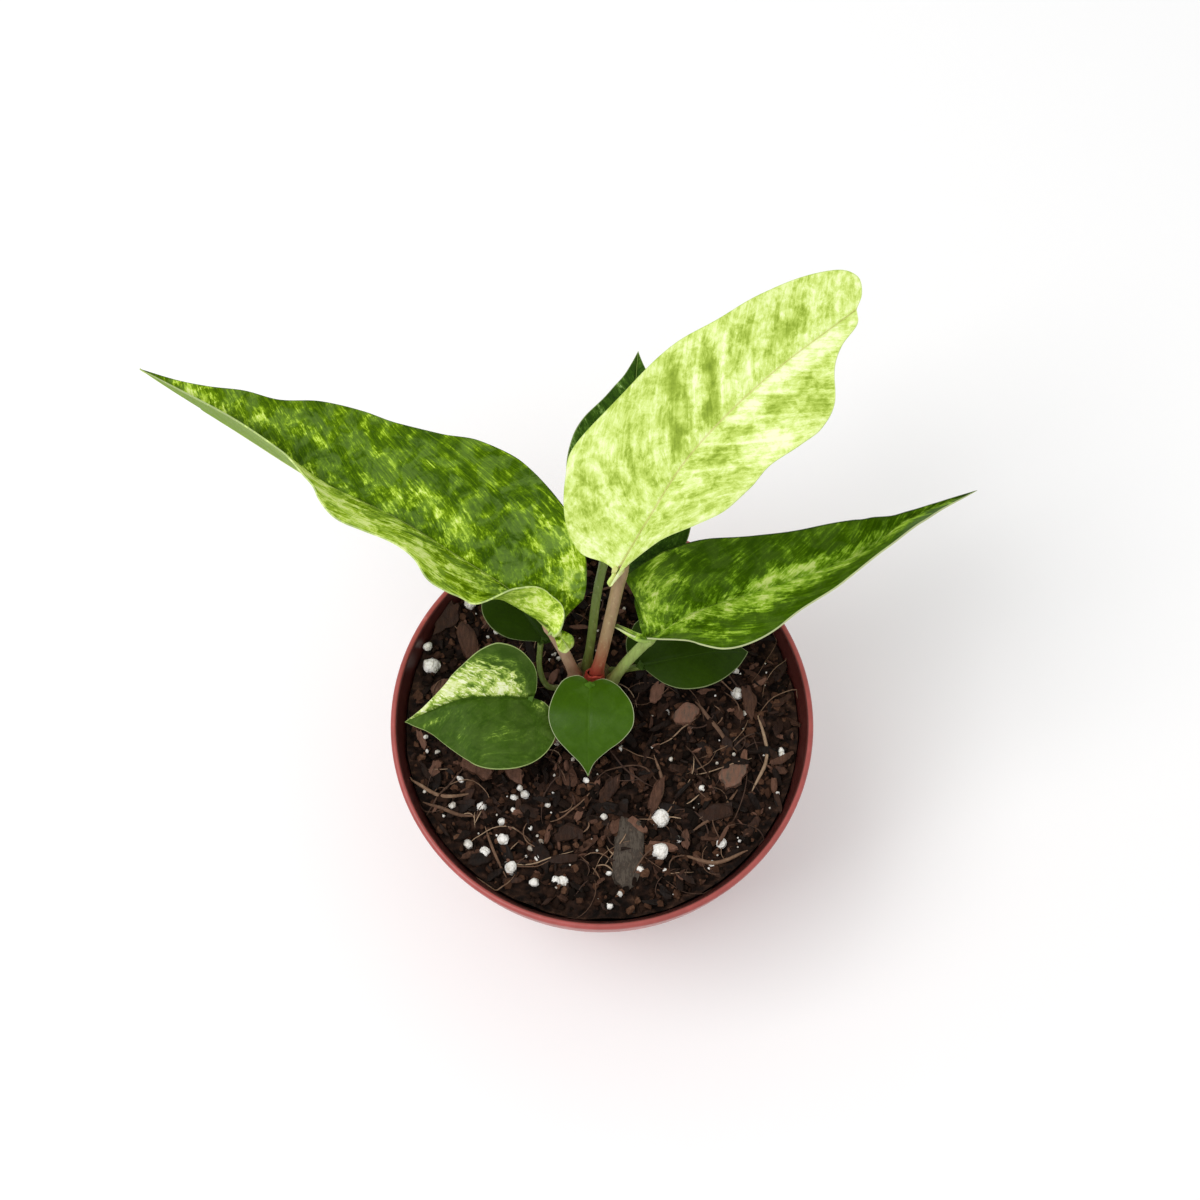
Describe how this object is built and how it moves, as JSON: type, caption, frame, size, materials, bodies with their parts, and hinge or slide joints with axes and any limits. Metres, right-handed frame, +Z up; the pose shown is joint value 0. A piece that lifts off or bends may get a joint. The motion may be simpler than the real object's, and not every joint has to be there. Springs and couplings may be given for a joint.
{
  "type": "potted plant",
  "caption": "Small variegated anthurium in a round nursery pot: pointed, flecked blades on slender stalks that rise from a short crown in a bark and perlite potting mix.",
  "frame": {"origin": "centre of the pot's flat underside", "axes": "+Z up, -Y towards the viewer of the picture, +X to the viewer's right"},
  "size_m": [0.1965, 0.1294, 0.157],
  "materials": {
    "pot": "thin coral-red nursery plastic, satin, a little dusty",
    "soil": "matt dark bark and peat mix with white perlite",
    "crown": "matt, ringed with old leaf scars",
    "sheath": "thin, dry and satin red",
    "stalk_tan": "satin tan, redder towards its foot",
    "stalk_green": "satin light green",
    "stalk_olive": "satin olive green",
    "leaf_flecked": "satin leathery green with pale streaks along the veins",
    "leaf_pale": "satin leathery pale yellow-green with mid-green mottling",
    "leaf_green": "satin leathery green, a bright streaked band along the midrib",
    "leaf_heart": "satin leathery green with a thin pale margin",
    "leaf_dark": "satin leathery dark green"
  },
  "bodies": {
    "root": {"pot": "pot", "soil": "soil", "crown": "crown", "sheath": "sheath", "stalk_left": "stalk_tan", "blade_left": "leaf_flecked", "stalk_top": "stalk_tan", "blade_top": "leaf_pale", "stalk_right": "stalk_green", "blade_right": "leaf_green", "stalk_back": "stalk_olive", "blade_back": "leaf_dark", "stalk_heart_left": "stalk_olive", "blade_heart_left": "leaf_heart", "stalk_heart_front": "stalk_olive", "blade_heart_front": "leaf_heart", "stalk_low_left": "stalk_olive", "blade_low_left": "leaf_dark", "stalk_low_right": "stalk_olive", "blade_low_right": "leaf_dark"}
  },
  "joints": []
}
